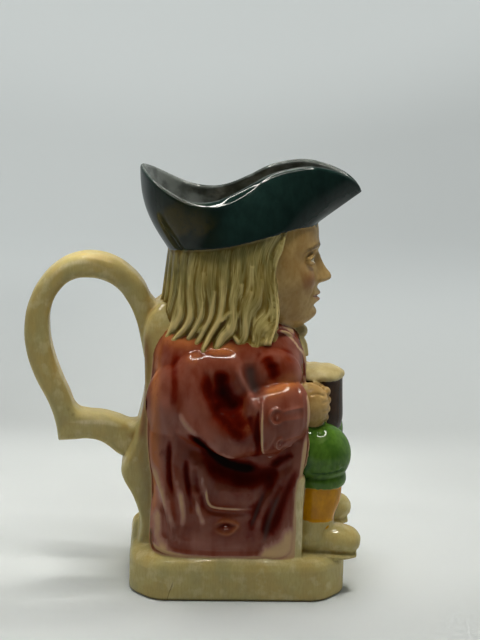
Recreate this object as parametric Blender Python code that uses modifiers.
"""Toby jug: a hollow earthenware jug cast as a seated drinker in a tricorn hat.

Frame: +X the way the figure faces, +Y the figure's left, +Z up, origin at the centre of the
underside. All sizes below are millimetres and are scaled to metres as each shape is made.
The jug is one casting, so every form is joined and fused into one solid before it is hollowed.
"""
import math

import bmesh
import bpy
import numpy as np
from mathutils import Matrix, Vector

MM = 0.001

# ---------------------------------------------------------------- driving dimensions
BASE_LENGTH = 123.4
BASE_WIDTH = 100.0
BASE_HEIGHT = 24.4
BASE_CORNER = (14.0, 15.4)
WALL = 4.4
FLOOR = 7.0
MOUTH_TOP = 262.0
SEAT_FRONT = 36.0
CHIN_Z = 152.0
HANDLE_WIDTH = 20.0
HANDLE_EDGE = 3.6
HAT_WALL = 5.0
HAT_CROWN_SHARE = 0.4
BACK_WIDTH = 46.0
SLAB_SQUARENESS = 8
MUG_CENTRE = (46.0, 0.0)
MUG_RADIUS = 14.2
LEG_Y = 24.5
SHOE_Y = 28.5
BUTTON_HEIGHTS = (114.6, 98.6)
FINGER_PITCH = 5.7
LOCKS_PER_SIDE = 13
FUSE_VOXEL = 1.45
FACE_BUDGET = 7750
SMOOTHING_PASSES = 2
WELD = 0.02
SIDES = (-1, 1)


# ---------------------------------------------------------------- scene set-up and shape helpers
for old in list(bpy.data.objects):
    bpy.data.objects.remove(old, do_unlink=True)

jug_collection = bpy.data.collections.new("Toby jug")
cutter_collection = bpy.data.collections.new("Cutters")
for collection in (jug_collection, cutter_collection):
    bpy.context.scene.collection.children.link(collection)


def add_mesh(name, mesh, collection=jug_collection):
    obj = bpy.data.objects.new(name, mesh)
    collection.objects.link(obj)
    return obj


def spline(stations, count):
    """Evenly sample a Catmull-Rom curve through rows of numbers (place and sizes together)."""
    rows = np.array(stations, float)
    rows = np.vstack([2 * rows[0] - rows[1], rows, 2 * rows[-1] - rows[-2]])
    spans = len(rows) - 3
    samples = []
    for u in np.linspace(0, spans, count):
        i = min(int(u), spans - 1)
        t = u - i
        a, b, c, d = rows[i:i + 4]
        samples.append(0.5 * (2 * b + (c - a) * t + (2 * a - 5 * b + 4 * c - d) * t * t
                              + (3 * b - a - 3 * c + d) * t ** 3))
    return np.array(samples)


def skin(name, rings, collection=jug_collection):
    """Close a stack of rings with the same number of points into one solid."""
    bm = bmesh.new()
    rows = [[bm.verts.new(Vector(point) * MM) for point in ring] for ring in rings]
    for low, high in zip(rows, rows[1:]):
        for i in range(len(low)):
            j = (i + 1) % len(low)
            bm.faces.new((low[i], low[j], high[j], high[i]))
    bm.faces.new(rows[0][::-1])
    bm.faces.new(rows[-1])
    bmesh.ops.recalc_face_normals(bm, faces=bm.faces)
    mesh = bpy.data.meshes.new(name)
    bm.to_mesh(mesh)
    bm.free()
    return add_mesh(name, mesh, collection)


def stack(name, levels, count=40, samples=26, collection=jug_collection):
    """Loft upright rounded sections; a level is z, back x, front x, half width, squareness."""
    rings = []
    for z, back, front, half, square in spline(levels, samples):
        ring = []
        for angle in np.linspace(0, 2 * math.pi, count, endpoint=False):
            c, s = math.cos(angle), math.sin(angle)
            reach = (abs(c) ** square + abs(s) ** square) ** (-1 / square)
            x = (front + back) / 2 + (front - back) / 2 * c * reach
            ring.append((x, half * s * reach, z))
        rings.append(ring)
    return skin(name, rings, collection)


def limb(name, stations, count=18, samples=14, outward=(0, -1, 0)):
    """Oval tube; a station is x, y, z, half height in its plane, half depth outward."""
    rows = spline(stations, samples)
    places = rows[:, :3]
    along = np.gradient(places, axis=0)
    rings = []
    for place, tangent, (high, deep) in zip(places, along, rows[:, 3:5]):
        tangent = tangent / np.linalg.norm(tangent)
        out = np.array(outward, float) - np.dot(outward, tangent) * tangent
        out /= np.linalg.norm(out)
        up = np.cross(out, tangent)
        rings.append([place + up * high * math.cos(a) + out * deep * math.sin(a)
                      for a in np.linspace(0, 2 * math.pi, count, endpoint=False)])
    return skin(name, rings)


def ball(name, centre, radii, turn=(0, 0, 0)):
    bpy.ops.mesh.primitive_uv_sphere_add(segments=24, ring_count=14, radius=MM)
    obj = bpy.context.object
    obj.name = name
    turned = Matrix.Rotation(math.radians(turn[2]), 4, "Z")
    turned @= Matrix.Rotation(math.radians(turn[1]), 4, "Y")
    turned @= Matrix.Rotation(math.radians(turn[0]), 4, "X")
    obj.data.transform(Matrix.Translation(Vector(centre) * MM) @ turned @ Matrix.Diagonal((*radii, 1)))
    return obj


def strand(name, stations):
    """Round strand of changing thickness; a station is x, y, z, radius."""
    curve = bpy.data.curves.new(name, "CURVE")
    curve.dimensions = "3D"
    curve.bevel_depth = MM
    curve.bevel_resolution = 2
    curve.resolution_u = 5
    curve.use_fill_caps = True
    line = curve.splines.new("BEZIER")
    line.bezier_points.add(len(stations) - 1)
    for point, (x, y, z, radius) in zip(line.bezier_points, stations):
        point.co = Vector((x, y, z)) * MM
        point.radius = radius
        point.handle_left_type = point.handle_right_type = "AUTO"
    return curve_to_mesh(name, curve)


def curve_to_mesh(name, curve, turn=Matrix.Identity(4)):
    guide = bpy.data.objects.new(name, curve)
    jug_collection.objects.link(guide)
    evaluated = guide.evaluated_get(bpy.context.evaluated_depsgraph_get())
    mesh = bpy.data.meshes.new_from_object(evaluated)
    bpy.data.objects.remove(guide)
    bm = bmesh.new()
    bm.from_mesh(mesh)
    bmesh.ops.remove_doubles(bm, verts=bm.verts, dist=WELD * MM)
    bm.to_mesh(mesh)
    bm.free()
    mesh.transform(turn)
    return add_mesh(name, mesh)


def side_plate(name, outline, width, edge):
    """Solid with an outline in the XZ plane, centred on Y; an outline row is x, z, is_corner."""
    curve = bpy.data.curves.new(name, "CURVE")
    curve.dimensions = "2D"
    curve.fill_mode = "BOTH"
    curve.extrude = (width / 2 - edge) * MM
    curve.bevel_depth = edge * MM
    curve.bevel_resolution = 2
    curve.offset = -edge * MM
    curve.resolution_u = 5
    line = curve.splines.new("BEZIER")
    line.bezier_points.add(len(outline) - 1)
    line.use_cyclic_u = True
    for point, (x, z, is_corner) in zip(line.bezier_points, outline):
        point.co = (x * MM, z * MM, 0)
        point.handle_left_type = point.handle_right_type = "VECTOR" if is_corner else "AUTO"
    return curve_to_mesh(name, curve, Matrix.Rotation(math.radians(90), 4, "X"))


def block(name, low, high):
    bpy.ops.mesh.primitive_cube_add(size=1)
    obj = bpy.context.object
    obj.name = name
    low, high = Vector(low) * MM, Vector(high) * MM
    obj.data.transform(Matrix.Translation((low + high) / 2) @ Matrix.Diagonal((*(high - low), 1)))
    return obj


# ---------------------------------------------------------------- base, seat and back slab
def cut_corner_plan(inset=0.0):
    """Corners of the base outline, going round, drawn in by an inset."""
    half_x, half_y = BASE_LENGTH / 2 - inset, BASE_WIDTH / 2 - inset
    cut_x, cut_y = BASE_CORNER
    return [(half_x, cut_y - half_y), (half_x, half_y - cut_y), (half_x - cut_x, half_y),
            (cut_x - half_x, half_y), (-half_x, half_y - cut_y), (-half_x, cut_y - half_y),
            (cut_x - half_x, -half_y), (half_x - cut_x, -half_y)]


def make_base():
    soft = 1.6
    below = -3.0
    levels = ((below, 0.0), (BASE_HEIGHT - soft, 0.0), (BASE_HEIGHT, soft))
    skin("base", [[(x, y, z) for x, y in cut_corner_plan(inset)] for z, inset in levels])
    block("seat", (-46, -41, 15), (SEAT_FRONT, 41, 72))


def make_back_slab():
    """Upright slab behind the coat, swelling to a spur where the handle comes back in."""
    levels = ((18, -58.6, -42), (24, -57.6, -42), (37, -56.0, -42), (51, -60.2, -42), (62, -66.2, -42),
              (69, -67.0, -42), (80, -62.0, -42), (94, -57.6, -42), (112, -54.6, -42),
              (130, -54.6, -41), (146, -55.4, -40), (157, -52.6, -38), (164, -46.0, -36))
    half_widths = [BACK_WIDTH / 2] * 10 + [BACK_WIDTH / 2 - 1, BACK_WIDTH / 2 - 4, BACK_WIDTH / 2 - 9]
    stack("back_slab", [(*level, half, SLAB_SQUARENESS) for level, half in zip(levels, half_widths)],
          samples=40)


# ---------------------------------------------------------------- coat, sleeves, cuffs and folds
COAT_LEVELS = ((20, -50.0, 32.0, 45.4, 5.5), (32, -50.4, 33.4, 46.0, 5.5), (50, -49.6, 32.4, 46.4, 5.0),
               (62, -49.8, 33.2, 46.6, 4.6), (74, -51.4, 36.0, 46.6, 4.0), (86, -52.6, 38.8, 46.4, 3.8),
               (98, -52.9, 38.4, 45.8, 3.4), (114, -52.4, 34.8, 44.6, 3.0), (127, -51.4, 35.8, 43.6, 2.8),
               (138, -49.8, 35.6, 42.2, 2.6), (146, -47.0, 32.8, 39.0, 2.4), (152, -42.0, 26.0, 32.0, 2.3))


def make_coat():
    stack("coat", COAT_LEVELS)
    for side in SIDES:
        limb("sleeve", ((-20, side * 28, 139, 12, 10), (-25, side * 37, 128, 14, 12),
                        (-27, side * 41, 114, 14, 12.5), (-20, side * 43, 102, 13.5, 12),
                        (-4, side * 44, 99, 14.5, 11.5), (13, side * 43, 104, 17.5, 12),
                        (24, side * 40, 108, 15, 10)))
        limb("cuff", ((10.6, side * 44.2, 104.2, 19.0, 12.6), (14, side * 44.4, 105.4, 19.4, 13.0),
                      (24, side * 42.6, 109.2, 17.6, 12.6), (35, side * 37.0, 112.0, 15.2, 12.0),
                      (37.4, side * 35.4, 112.6, 13.6, 10.4)))
        strand("cuff_edge", ((12.0, side * 50, 88, 2.2), (11.0, side * 56.0, 97, 2.2),
                             (11.0, side * 56.4, 109, 2.2), (12.4, side * 52, 121, 2.2)))
        for high in BUTTON_HEIGHTS:
            ball("cuff_button", (19.5, side * 55.6, high), (2.9, 1.8, 2.9))
        limb("pocket_flap", ((-18.5, side * 45.2, 68, 11.0, 3.2), (-4, side * 45.8, 68, 11.4, 3.4),
                             (9, side * 45.2, 68, 10.8, 3.2)), samples=6)
        ball("coat_button", (-6.5, side * 46.4, 47), (4.6, 2.4, 3.0))
        make_folds(side)


def make_folds(side):
    """Raised runs of cloth down the back of the skirt, below the cuff and over the seat edge."""
    folds = (((-44, 112), (-45, 92), (-40, 72), (-43, 48), (-45, 30)),
             ((-35, 98), (-35, 80), (-31, 62), (-33, 44), (-31, 28)),
             ((-26, 88), (-25, 72), (-24, 56), (-20, 40), (-21, 30)),
             ((18, 66), (15, 50), (10, 34), (8, 27)),
             ((30, 92), (27, 72), (22, 52), (20, 32)))
    for fold in folds:
        stations = []
        for i, (x, z) in enumerate(fold):
            radius = 4.2 if 0 < i < len(fold) - 1 else 2.6
            stations.append((x, side * (coat_half_width(x, z) - 2.2), z, radius))
        strand("fold", stations)


def coat_half_width(x, z):
    """Half width of the coat loft at a place on its side."""
    levels = np.array(COAT_LEVELS)
    back, front, half, square = (np.interp(z, levels[:, 0], levels[:, k]) for k in range(1, 5))
    run = min(abs(x - (front + back) / 2) / ((front - back) / 2), 0.98)
    return half * (1 - run ** square) ** (1 / square)


# ---------------------------------------------------------------- legs and shoes
def make_legs():
    for side in SIDES:
        y = side * LEG_Y
        limb("thigh", ((14, y, 84, 14, 15), (34, y, 83, 16.5, 15.5), (46, y, 81, 16, 15)))
        ball("knee", (46.4, y, 80.4), (17.4, 16.4, 17.8))
        limb("breeches_band", ((46.6, y, 70, 13.8, 13.4), (46.8, y, 66.8, 14.6, 14.0),
                               (46.8, y, 63.6, 14.2, 13.6)), samples=5, outward=(0, 1, 0))
        limb("stocking", ((46.4, y, 68, 13, 12.6), (46.0, side * 25.5, 56, 12.6, 12.2),
                          (45.0, side * 26.5, 46, 10.4, 10.6), (44.6, side * 27.5, 36, 9.8, 10.2),
                          (44, side * SHOE_Y, 28, 9.6, 10)), outward=(0, 1, 0))
        limb("shoe", ((33, side * 26.8, 30.5, 8.4, 8.6), (40, side * 27.4, 31.4, 9.6, 10.4),
                      (50, side * 28.0, 31.0, 9.2, 11.2), (59, side * 28.4, 30.4, 8.8, 11.4),
                      (66, side * 28.8, 29.6, 7.2, 9.6), (70.6, side * 29.0, 28.8, 3.0, 4.6)))
        limb("sole", ((33, side * 26.8, 23.6, 2.4, 9.4), (50, side * 28.0, 23.4, 2.4, 12.2),
                      (61, side * 28.6, 22.8, 2.4, 12.0), (68.6, side * 29.0, 22.8, 2.0, 7.0)))
        ball("buckle", (50.5, side * 28.0, 39.4), (4.6, 5.4, 2.6), (0, 18, 0))


# ---------------------------------------------------------------- hands, mug, shirt front
def make_front():
    x, y = MUG_CENTRE
    rings = ((90, 0.97), (95, 1.03), (108, 1.0), (119, 0.97))
    skin("mug", [[(x + MUG_RADIUS * r * math.cos(a), y + MUG_RADIUS * r * math.sin(a), z)
                  for a in np.linspace(0, 2 * math.pi, 24, endpoint=False)] for z, r in rings])
    ball("froth", (x - 0.4, y, 118.6), (14.8, 14.8, 8.6))
    for side in SIDES:
        ball("hand", (39.5, side * 24.5, 110), (10.5, 9.5, 12.6), (0, 0, side * 12))
        for finger in range(4):
            z = 118.6 - FINGER_PITCH * finger
            reach = 51.0 + 1.2 * math.sin(math.pi * (finger + 0.8) / 4.2)
            strand("finger", ((38, side * 27, z - 0.6, 3.6), (45.5, side * 24.6, z, 3.6),
                              (reach - 2.4, side * 19.6, z + 0.2, 3.4), (reach, side * 14.2, z, 2.9)))
        strand("thumb", ((33, side * 20, 121, 4.4), (38, side * 15.4, 122.6, 4.0),
                         (42, side * 12.8, 121.8, 3.0)))
        strand("waistcoat_edge", ((34.4, side * 6, 147, 2.6), (38.0, side * 7, 137, 2.8),
                                  (37.4, side * 9, 124, 2.8), (35.4, side * 13, 106, 2.6)))
        strand("collar", ((-2, side * 30, 151.5, 3.2), (14, side * 25, 154, 3.4),
                          (25, side * 15, 151.5, 3.4), (31.5, side * 5, 146.5, 3.4)))
    ball("chest", (14, 0, 134), (24.6, 30, 20))
    ball("cravat", (31, 0, 146), (7, 9, 8))


# ---------------------------------------------------------------- head, face and hair
HEAD_LEVELS = ((140, -42.2, 20, 29.6, 2.2), (152, -41.8, 25, 30.6, 2.2), (166, -41.0, 28, 31.2, 2.2),
               (182, -40.4, 30, 31.4, 2.2), (196, -39.6, 32, 31.4, 2.2), (206, -38.5, 34, 31.0, 2.2),
               (214, -36.0, 35, 27.0, 2.2))


def head_point(turn, z, out=0.0):
    """A place on the hair's outer surface, turned from the front, moved out by a little."""
    levels = np.array(HEAD_LEVELS)
    back, front, half = (np.interp(z, levels[:, 0], levels[:, k]) for k in (1, 2, 3))
    c, s = math.cos(turn), math.sin(turn)
    return ((front + back) / 2 + ((front - back) / 2 + out) * c, (half + out) * s, z)


def make_head():
    stack("head", HEAD_LEVELS, samples=14)
    ball("face", (17, 0, 183), (27.6, 25.5, 33))
    ball("jaw", (22, 0, 165.5), (22.5, 19, 14.5), (0, 14, 0))
    ball("chin", (39.6, 0, CHIN_Z + 6.4), (5.6, 7.6, 5.6))
    strand("nose", ((43.2, 0, 193, 2.6), (45.6, 0, 186.5, 3.0), (48.6, 0, 179.4, 3.9),
                    (48.0, 0, 176.6, 3.6)))
    strand("upper_lip", ((39.8, -7.6, 168.0, 0.9), (44.4, -3, 168.9, 1.8), (44.4, 3, 168.9, 1.8),
                         (39.8, 7.6, 168.0, 0.9)))
    strand("lower_lip", ((39.6, -6.8, 167.0, 0.9), (43.6, -2.6, 165.2, 2.0), (43.6, 2.6, 165.2, 2.0),
                         (39.6, 6.8, 167.0, 0.9)))
    for side in SIDES:
        ball("nostril", (45.2, side * 3.6, 176.8), (3.4, 2.4, 2.5))
        strand("brow", ((43.6, side * 3.6, 195.0, 1.8), (42.0, side * 10, 196.8, 2.1),
                        (36.6, side * 17.6, 194.6, 1.6)))
        ball("eye", (38.6, side * 10.2, 190.0), (3.9, 4.8, 2.9))
        ball("cheek", (35.4, side * 12.4, 177.6), (7.4, 7.4, 7.4))


def make_hair():
    """Long locks hanging from the hat, in two staggered layers, down to the shoulders."""
    first, last = math.radians(52), math.radians(180)
    for side in SIDES:
        for layer in range(2):
            for i in range(LOCKS_PER_SIDE):
                share = (i + 0.5 * layer) / LOCKS_PER_SIDE
                turn = side * (first + (last - first) * share)
                sway = 0.045 * math.sin(4.1 * i + 2.3 * layer + side)
                top = 198 + 0.26 * max(0, head_point(turn, 200)[0] + 16)
                tip = 149.5 + 4.0 * math.sin(2.7 * i + 1.9 * layer) + 7 * layer
                radii = (2.6, 3.4, 3.6, 3.0, 0.9)
                drift = (0, 0.2, 0.6, 1.0, 1.9)
                stations = [(*head_point(turn + sway * d, z, 0.5 + 0.7 * layer), radius)
                            for z, radius, d in zip(np.linspace(top, tip, 5), radii, drift)]
                strand("lock", stations)


# ---------------------------------------------------------------- tricorn hat
# Half outlines from the front corner round the side corner to the back, as matched rows:
# where the hat meets the hair, and the turned-up crest with how far its rolled lip stands out
# and drops, and how much the side below it swells.
HAT_FOOT = ((41.6, 0, 209.2), (40.0, 8.0, 209.6), (36.5, 16.0, 209.8), (30.0, 23.0, 209.6),
            (20.0, 29.6, 208.2), (8.0, 34.4, 205.2), (-5.0, 36.8, 202.0), (-16.0, 36.4, 200.0),
            (-26.0, 32.6, 198.7), (-35.0, 25.4, 197.2), (-40.0, 16.0, 195.6), (-41.6, 7.0, 194.2),
            (-42.2, 0, 193.4))
HAT_CREST = ((65.4, 0, 228.6), (62.6, 3.6, 233.2), (56.6, 7.0, 237.8), (46.0, 11.0, 241.8),
             (33.0, 14.8, 243.4), (16.0, 15.6, 240.0), (3.0, 17.4, 233.4), (-8.0, 21.8, 228.0),
             (-18.0, 28.6, 225.2), (-30.0, 34.0, 225.8), (-41.5, 32.0, 230.8), (-52.0, 22.0, 237.0),
             (-57.4, 0, 240.8))
HAT_LIP = ((1.2, 0.8, 0.0), (2.4, 1.2, 0.4), (3.0, 1.2, 1.6), (3.2, 1.2, 3.0), (3.4, 1.2, 4.4),
           (4.0, 1.4, 4.8), (4.4, 1.9, 4.6), (5.2, 2.6, 3.6), (5.6, 2.6, 2.6), (4.2, 1.6, 3.2),
           (3.0, 1.2, 4.0), (2.0, 1.0, 4.6), (1.2, 0.8, 4.8))


def round_outline(half, per_span=2):
    """Mirror a half outline about the XZ plane and sample the closed loop smoothly."""
    loop = list(half) + [(x, -y, *more) for x, y, *more in half[-2:0:-1]]
    overlap = 3
    rows = loop[-overlap:] + loop + loop[:overlap + 1]
    samples = spline(rows, per_span * (len(rows) - 1) + 1)
    return samples[overlap * per_span:(overlap + len(loop)) * per_span]


def pushed_out(ring, distance):
    """Move a ring's points along its outward direction in plan."""
    along = np.roll(ring, -1, axis=0) - np.roll(ring, 1, axis=0)
    out = np.stack([along[:, 1], -along[:, 0]], 1)
    out /= np.linalg.norm(out, axis=1)[:, None]
    moved = ring.copy()
    moved[:, :2] += out * np.reshape(distance, (-1, 1))
    return moved


def hat_wall(inset, heights):
    """Rings up the hat's side, drawn in by an inset; a height of 1 is the lip's outer edge."""
    foot = round_outline(HAT_FOOT)
    crest = round_outline([(*place, *lip) for place, lip in zip(HAT_CREST, HAT_LIP)])
    lip = pushed_out(crest[:, :3], crest[:, 3])
    lip[:, 2] -= crest[:, 4]
    return [pushed_out(foot + (lip - foot) * height, crest[:, 5] * math.sin(math.pi * abs(height)) - inset)
            for height in heights]


def make_hat():
    crest = round_outline(HAT_CREST)
    middle = crest * HAT_CROWN_SHARE
    middle[:, 2] += (1 - HAT_CROWN_SHARE) * crest[:, 2].mean()
    tucked_under = hat_wall(HAT_WALL + 2, (0.03,))
    outside = hat_wall(0.0, (0.0, 0.2, 0.4, 0.6, 0.8, 0.93, 1.0))
    skin("hat", tucked_under + outside + [crest, middle])


# ---------------------------------------------------------------- handle
def make_handle():
    outline = [(-46, 160, True), (-51.5, 165.5, False), (-55.8, 173.6, False), (-63, 181.6, False),
               (-72.8, 187.8, False), (-84, 190.4, False), (-94.6, 189.2, False), (-105, 184, False),
               (-114, 174.8, False), (-120.4, 162.8, False), (-123.2, 149, False),
               (-122.4, 134, False), (-117.6, 118.6, False), (-109.2, 101.6, False),
               (-105.6, 90.6, False), (-104, 80.2, True), (-94.5, 80.9, False), (-86.6, 81.5, False),
               (-79.4, 79.9, False), (-68, 72, False), (-50, 66, True), (-50, 96, True),
               (-61.6, 91.6, False), (-69.6, 94.1, False), (-78, 96.3, False), (-88, 97.3, False),
               (-92.8, 98.8, False), (-98, 109, False), (-103, 120.4, False), (-107, 132.6, False),
               (-109.1, 146, False), (-108, 159, False), (-102.6, 169.6, False),
               (-95.4, 175.2, False), (-86.4, 176.4, False), (-78.4, 175.0, False),
               (-71, 170.8, False), (-64.6, 162.6, False), (-60, 152.6, False),
               (-57.2, 141.4, False), (-55, 130, True), (-46, 126, True)]
    side_plate("handle", outline, HANDLE_WIDTH, HANDLE_EDGE)


# ---------------------------------------------------------------- hollow inside and flat underside
def make_cavity():
    """What is poured in fills this: body, neck and the open hat, a wall's thickness inside."""
    extra_front, extra_side = 1.6, 1.0
    inner = [(FLOOR, -38, 23, 31, 3.0), (FLOOR + 3, -44, 27, 37, 4.0)]
    for z, back, front, half, square in COAT_LEVELS[1:-3]:
        inner.append((z, back + WALL, front - WALL - extra_front, half - WALL - extra_side, square))
    inner += [(138, -43, 27, 34, 2.3), (150, -37.0, 21, 26, 2.1), (164, -36.6, 27, 26.2, 2.1),
              (180, -36.0, 32, 26.2, 2.1), (196, -35.4, 33, 25.6, 2.1), (211, -34.4, 29, 22, 2.1)]
    body = stack("body_space", inner, count=28, samples=22, collection=cutter_collection)
    crest = round_outline(HAT_CREST)
    above = crest.copy()
    above[:, 2] = MOUTH_TOP
    wall_rings = hat_wall(HAT_WALL + 2, (0.02,)) + hat_wall(HAT_WALL, (0.2, 0.45, 0.7, 0.88))
    mouth = skin("mouth_space", wall_rings + [crest, above], cutter_collection)
    return body, mouth


def make_ground():
    """Everything below the plane the jug stands on, so its underside comes out flat."""
    return block("ground", (-90, -90, -20), (90, 90, 0))


# ---------------------------------------------------------------- fusing and cutting
def fuse(parts, name):
    """Join overlapping forms, fuse them into one skin and thin it to the budget."""
    bpy.ops.object.select_all(action="DESELECT")
    for obj in parts:
        obj.select_set(True)
    bpy.context.view_layer.objects.active = parts[0]
    bpy.ops.object.join()
    figure = bpy.context.object
    figure.name = name
    figure.data.name = name
    remesh = figure.modifiers.new("Fuse", "REMESH")
    remesh.mode = "VOXEL"
    remesh.voxel_size = FUSE_VOXEL * MM
    soften = figure.modifiers.new("Soften", "SMOOTH")
    soften.factor = 0.5
    soften.iterations = SMOOTHING_PASSES
    freeze(figure)
    faces = len(figure.data.polygons) * 2
    thin = figure.modifiers.new("Thin", "DECIMATE")
    thin.ratio = FACE_BUDGET / faces
    thin.use_collapse_triangulate = True
    freeze(figure)
    return figure


def freeze(obj):
    """Turn an object's modifiers into plain mesh."""
    evaluated = obj.evaluated_get(bpy.context.evaluated_depsgraph_get())
    mesh = bpy.data.meshes.new_from_object(evaluated)
    obj.modifiers.clear()
    obj.data = mesh


def cut(obj, cutter):
    cutter.hide_render = True
    cutter.display_type = "WIRE"
    if cutter.name not in cutter_collection.objects:
        for home in list(cutter.users_collection):
            home.objects.unlink(cutter)
        cutter_collection.objects.link(cutter)
    boolean = obj.modifiers.new("Cut " + cutter.name, "BOOLEAN")
    boolean.operation = "DIFFERENCE"
    boolean.solver = "EXACT"
    boolean.object = cutter
    bpy.context.view_layer.update()


def glaze(name, colour, roughness):
    material = bpy.data.materials.new(name)
    material.use_nodes = True
    shader = material.node_tree.nodes["Principled BSDF"]
    shader.inputs["Base Color"].default_value = (*colour, 1)
    shader.inputs["Roughness"].default_value = roughness
    shader.inputs["Metallic"].default_value = 0
    return material


make_base()
make_back_slab()
make_coat()
make_legs()
make_front()
make_head()
make_hair()
make_hat()
make_handle()
for obj in bpy.data.objects:
    for home in list(obj.users_collection):
        home.objects.unlink(obj)
    jug_collection.objects.link(obj)
jug = fuse(list(jug_collection.objects), "toby_jug")
for cutter in (make_ground(), *make_cavity()):
    cut(jug, cutter)
jug.data.materials.clear()
jug.data.materials.append(glaze("cream glaze", (0.62, 0.5, 0.27), 0.15))
jug.data.shade_smooth()
jug.data.set_sharp_from_angle(angle=math.radians(50))
